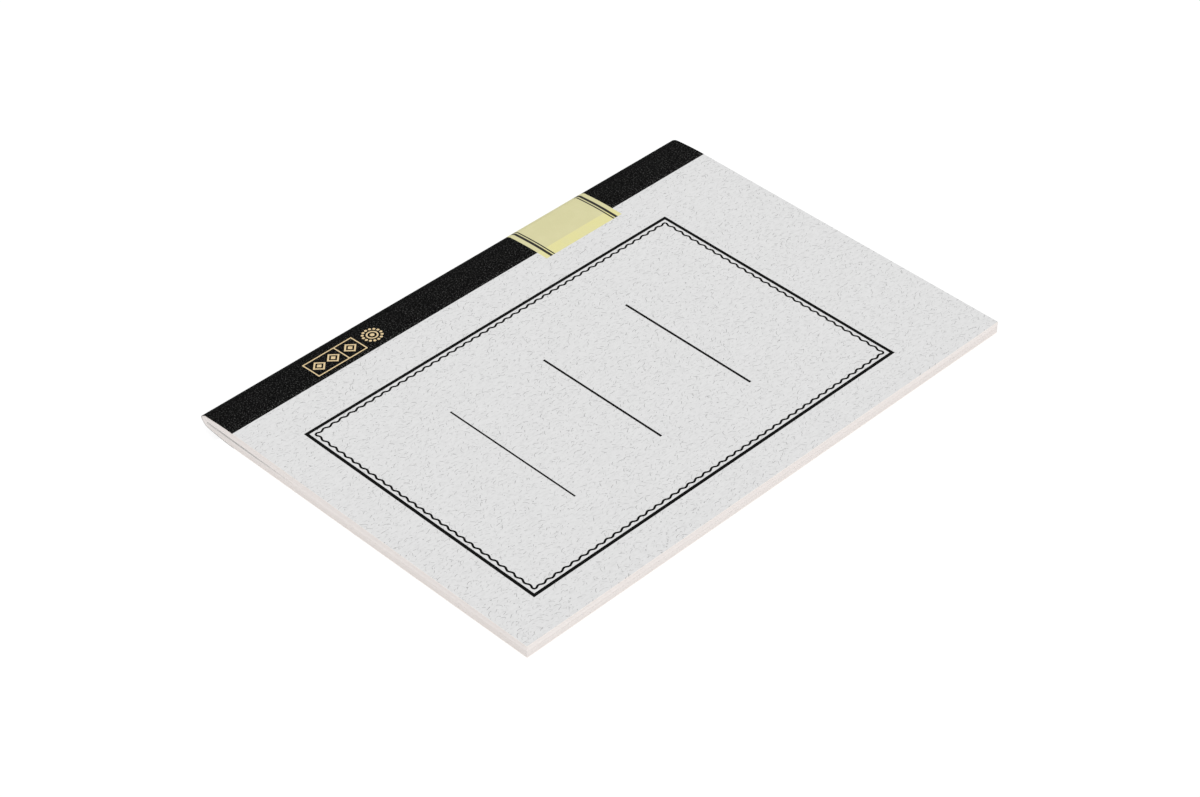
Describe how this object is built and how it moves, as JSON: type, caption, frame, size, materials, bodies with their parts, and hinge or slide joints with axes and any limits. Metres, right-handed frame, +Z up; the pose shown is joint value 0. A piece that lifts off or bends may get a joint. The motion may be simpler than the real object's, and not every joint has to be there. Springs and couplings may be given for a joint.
{
  "type": "lined notebook",
  "caption": "Thin sewn notebook with a grey wrap-round paper cover, black cloth spine strip, pasted label and ruled leaves that open at the centre fold.",
  "frame": {"origin": "under the middle of the closed notebook, on the surface that its back cover rests on", "axes": "+X from the spine to the fore-edge, +Y from tail to head along the spine, +Z up out of the front cover"},
  "size_m": [0.206, 0.297, 0.0086],
  "materials": {
    "leaf_paper": "uncoated cream writing paper with ruled lines",
    "cover_paper": "matt mottled grey card",
    "spine_cloth": "black woven book cloth",
    "label_paper": "pale yellow paper with black rules",
    "thread": "white twisted sewing thread"
  },
  "bodies": {
    "back_block": {"back_leaf_01": "leaf_paper", "back_leaf_02": "leaf_paper", "back_leaf_03": "leaf_paper", "back_leaf_04": "leaf_paper", "back_leaf_05": "leaf_paper", "back_leaf_06": "leaf_paper", "back_leaf_07": "leaf_paper", "back_leaf_08": "leaf_paper", "back_leaf_09": "leaf_paper", "back_leaf_10": "leaf_paper", "back_leaf_11": "leaf_paper", "back_leaf_12": "leaf_paper", "back_leaf_13": "leaf_paper", "back_leaf_14": "leaf_paper", "back_leaf_15": "leaf_paper", "back_leaf_16": "leaf_paper", "back_leaf_17": "leaf_paper", "back_leaf_18": "leaf_paper", "back_leaf_19": "leaf_paper", "back_leaf_20": "leaf_paper", "back_leaf_21": "leaf_paper", "back_leaf_22": "leaf_paper", "back_leaf_23": "leaf_paper", "back_leaf_24": "leaf_paper", "sheet_folds": "leaf_paper", "inner_thread": "thread", "outer_thread": "thread", "cover_spine": "cover_paper", "cloth_spine": "spine_cloth", "label_spine": "label_paper"},
    "front_leaf_01": {"front_leaf_01": "leaf_paper"},
    "front_leaf_02": {"front_leaf_02": "leaf_paper"},
    "front_leaf_03": {"front_leaf_03": "leaf_paper"},
    "front_leaf_04": {"front_leaf_04": "leaf_paper"},
    "front_leaf_05": {"front_leaf_05": "leaf_paper"},
    "front_leaf_06": {"front_leaf_06": "leaf_paper"},
    "front_leaf_07": {"front_leaf_07": "leaf_paper"},
    "front_leaf_08": {"front_leaf_08": "leaf_paper"},
    "front_leaf_09": {"front_leaf_09": "leaf_paper"},
    "front_leaf_10": {"front_leaf_10": "leaf_paper"},
    "front_leaf_11": {"front_leaf_11": "leaf_paper"},
    "front_leaf_12": {"front_leaf_12": "leaf_paper"},
    "front_leaf_13": {"front_leaf_13": "leaf_paper"},
    "front_leaf_14": {"front_leaf_14": "leaf_paper"},
    "front_leaf_15": {"front_leaf_15": "leaf_paper"},
    "front_leaf_16": {"front_leaf_16": "leaf_paper"},
    "front_leaf_17": {"front_leaf_17": "leaf_paper"},
    "front_leaf_18": {"front_leaf_18": "leaf_paper"},
    "front_leaf_19": {"front_leaf_19": "leaf_paper"},
    "front_leaf_20": {"front_leaf_20": "leaf_paper"},
    "front_leaf_21": {"front_leaf_21": "leaf_paper"},
    "front_leaf_22": {"front_leaf_22": "leaf_paper"},
    "front_leaf_23": {"front_leaf_23": "leaf_paper"},
    "front_leaf_24": {"front_leaf_24": "leaf_paper"},
    "front_cover": {"front_cover": "cover_paper", "front_cloth": "spine_cloth", "front_label": "label_paper"},
    "back_cover": {"back_cover": "cover_paper", "back_cloth": "spine_cloth", "back_label": "label_paper"}
  },
  "joints": [
    {"name": "centre_opening", "type": "hinge", "parent": "back_block", "child": "front_leaf_01", "pos_m": [-0.0987, 0, 0.0043], "axis": [0, -1, 0], "range_deg": [0, 179.95], "deforming": ["sheet_folds", "inner_thread", "outer_thread", "cover_spine", "cloth_spine", "label_spine"]},
    {"name": "front_leaf_02_turn", "type": "hinge", "parent": "back_block", "child": "front_leaf_02", "pos_m": [-0.0987, 0, 0.0043], "axis": [0, -1, 0], "range_deg": [0, 179.9]},
    {"name": "front_leaf_03_turn", "type": "hinge", "parent": "back_block", "child": "front_leaf_03", "pos_m": [-0.0987, 0, 0.0043], "axis": [0, -1, 0], "range_deg": [0, 179.83]},
    {"name": "front_leaf_04_turn", "type": "hinge", "parent": "back_block", "child": "front_leaf_04", "pos_m": [-0.0987, 0, 0.0043], "axis": [0, -1, 0], "range_deg": [0, 179.77]},
    {"name": "front_leaf_05_turn", "type": "hinge", "parent": "back_block", "child": "front_leaf_05", "pos_m": [-0.0987, 0, 0.0043], "axis": [0, -1, 0], "range_deg": [0, 179.71]},
    {"name": "front_leaf_06_turn", "type": "hinge", "parent": "back_block", "child": "front_leaf_06", "pos_m": [-0.0987, 0, 0.0043], "axis": [0, -1, 0], "range_deg": [0, 179.65]},
    {"name": "front_leaf_07_turn", "type": "hinge", "parent": "back_block", "child": "front_leaf_07", "pos_m": [-0.0987, 0, 0.0043], "axis": [0, -1, 0], "range_deg": [0, 179.58]},
    {"name": "front_leaf_08_turn", "type": "hinge", "parent": "back_block", "child": "front_leaf_08", "pos_m": [-0.0987, 0, 0.0043], "axis": [0, -1, 0], "range_deg": [0, 179.52]},
    {"name": "front_leaf_09_turn", "type": "hinge", "parent": "back_block", "child": "front_leaf_09", "pos_m": [-0.0987, 0, 0.0043], "axis": [0, -1, 0], "range_deg": [0, 179.46]},
    {"name": "front_leaf_10_turn", "type": "hinge", "parent": "back_block", "child": "front_leaf_10", "pos_m": [-0.0987, 0, 0.0043], "axis": [0, -1, 0], "range_deg": [0, 179.4]},
    {"name": "front_leaf_11_turn", "type": "hinge", "parent": "back_block", "child": "front_leaf_11", "pos_m": [-0.0987, 0, 0.0043], "axis": [0, -1, 0], "range_deg": [0, 179.33]},
    {"name": "front_leaf_12_turn", "type": "hinge", "parent": "back_block", "child": "front_leaf_12", "pos_m": [-0.0987, 0, 0.0043], "axis": [0, -1, 0], "range_deg": [0, 179.27]},
    {"name": "front_leaf_13_turn", "type": "hinge", "parent": "back_block", "child": "front_leaf_13", "pos_m": [-0.0987, 0, 0.0043], "axis": [0, -1, 0], "range_deg": [0, 179.21]},
    {"name": "front_leaf_14_turn", "type": "hinge", "parent": "back_block", "child": "front_leaf_14", "pos_m": [-0.0987, 0, 0.0043], "axis": [0, -1, 0], "range_deg": [0, 179.15]},
    {"name": "front_leaf_15_turn", "type": "hinge", "parent": "back_block", "child": "front_leaf_15", "pos_m": [-0.0987, 0, 0.0043], "axis": [0, -1, 0], "range_deg": [0, 179.08]},
    {"name": "front_leaf_16_turn", "type": "hinge", "parent": "back_block", "child": "front_leaf_16", "pos_m": [-0.0987, 0, 0.0043], "axis": [0, -1, 0], "range_deg": [0, 179.02]},
    {"name": "front_leaf_17_turn", "type": "hinge", "parent": "back_block", "child": "front_leaf_17", "pos_m": [-0.0987, 0, 0.0043], "axis": [0, -1, 0], "range_deg": [0, 178.96]},
    {"name": "front_leaf_18_turn", "type": "hinge", "parent": "back_block", "child": "front_leaf_18", "pos_m": [-0.0987, 0, 0.0043], "axis": [0, -1, 0], "range_deg": [0, 178.9]},
    {"name": "front_leaf_19_turn", "type": "hinge", "parent": "back_block", "child": "front_leaf_19", "pos_m": [-0.0987, 0, 0.0043], "axis": [0, -1, 0], "range_deg": [0, 178.83]},
    {"name": "front_leaf_20_turn", "type": "hinge", "parent": "back_block", "child": "front_leaf_20", "pos_m": [-0.0987, 0, 0.0043], "axis": [0, -1, 0], "range_deg": [0, 178.77]},
    {"name": "front_leaf_21_turn", "type": "hinge", "parent": "back_block", "child": "front_leaf_21", "pos_m": [-0.0987, 0, 0.0043], "axis": [0, -1, 0], "range_deg": [0, 178.71]},
    {"name": "front_leaf_22_turn", "type": "hinge", "parent": "back_block", "child": "front_leaf_22", "pos_m": [-0.0987, 0, 0.0043], "axis": [0, -1, 0], "range_deg": [0, 178.65]},
    {"name": "front_leaf_23_turn", "type": "hinge", "parent": "back_block", "child": "front_leaf_23", "pos_m": [-0.0987, 0, 0.0043], "axis": [0, -1, 0], "range_deg": [0, 178.58]},
    {"name": "front_leaf_24_turn", "type": "hinge", "parent": "back_block", "child": "front_leaf_24", "pos_m": [-0.0987, 0, 0.0043], "axis": [0, -1, 0], "range_deg": [0, 178.52]},
    {"name": "front_cover_opening", "type": "hinge", "parent": "front_leaf_01", "child": "front_cover", "pos_m": [-0.0987, 0, 0.00875], "axis": [0, -1, 0], "range_deg": [0, 179.95]},
    {"name": "back_cover_opening", "type": "hinge", "parent": "back_block", "child": "back_cover", "pos_m": [-0.0987, 0, -0.00015], "axis": [0, 1, 0], "range_deg": [0, 179.95]}
  ],
  "couplings": [
    {"joint": "front_leaf_02_turn", "follows": "centre_opening", "ratio": 0.99965},
    {"joint": "front_leaf_03_turn", "follows": "centre_opening", "ratio": 0.9993},
    {"joint": "front_leaf_04_turn", "follows": "centre_opening", "ratio": 0.99896},
    {"joint": "front_leaf_05_turn", "follows": "centre_opening", "ratio": 0.99861},
    {"joint": "front_leaf_06_turn", "follows": "centre_opening", "ratio": 0.99826},
    {"joint": "front_leaf_07_turn", "follows": "centre_opening", "ratio": 0.99791},
    {"joint": "front_leaf_08_turn", "follows": "centre_opening", "ratio": 0.99757},
    {"joint": "front_leaf_09_turn", "follows": "centre_opening", "ratio": 0.99722},
    {"joint": "front_leaf_10_turn", "follows": "centre_opening", "ratio": 0.99687},
    {"joint": "front_leaf_11_turn", "follows": "centre_opening", "ratio": 0.99652},
    {"joint": "front_leaf_12_turn", "follows": "centre_opening", "ratio": 0.99617},
    {"joint": "front_leaf_13_turn", "follows": "centre_opening", "ratio": 0.99583},
    {"joint": "front_leaf_14_turn", "follows": "centre_opening", "ratio": 0.99548},
    {"joint": "front_leaf_15_turn", "follows": "centre_opening", "ratio": 0.99513},
    {"joint": "front_leaf_16_turn", "follows": "centre_opening", "ratio": 0.99478},
    {"joint": "front_leaf_17_turn", "follows": "centre_opening", "ratio": 0.99443},
    {"joint": "front_leaf_18_turn", "follows": "centre_opening", "ratio": 0.99409},
    {"joint": "front_leaf_19_turn", "follows": "centre_opening", "ratio": 0.99374},
    {"joint": "front_leaf_20_turn", "follows": "centre_opening", "ratio": 0.99339},
    {"joint": "front_leaf_21_turn", "follows": "centre_opening", "ratio": 0.99304},
    {"joint": "front_leaf_22_turn", "follows": "centre_opening", "ratio": 0.9927},
    {"joint": "front_leaf_23_turn", "follows": "centre_opening", "ratio": 0.99235},
    {"joint": "front_leaf_24_turn", "follows": "centre_opening", "ratio": 0.992}
  ]
}
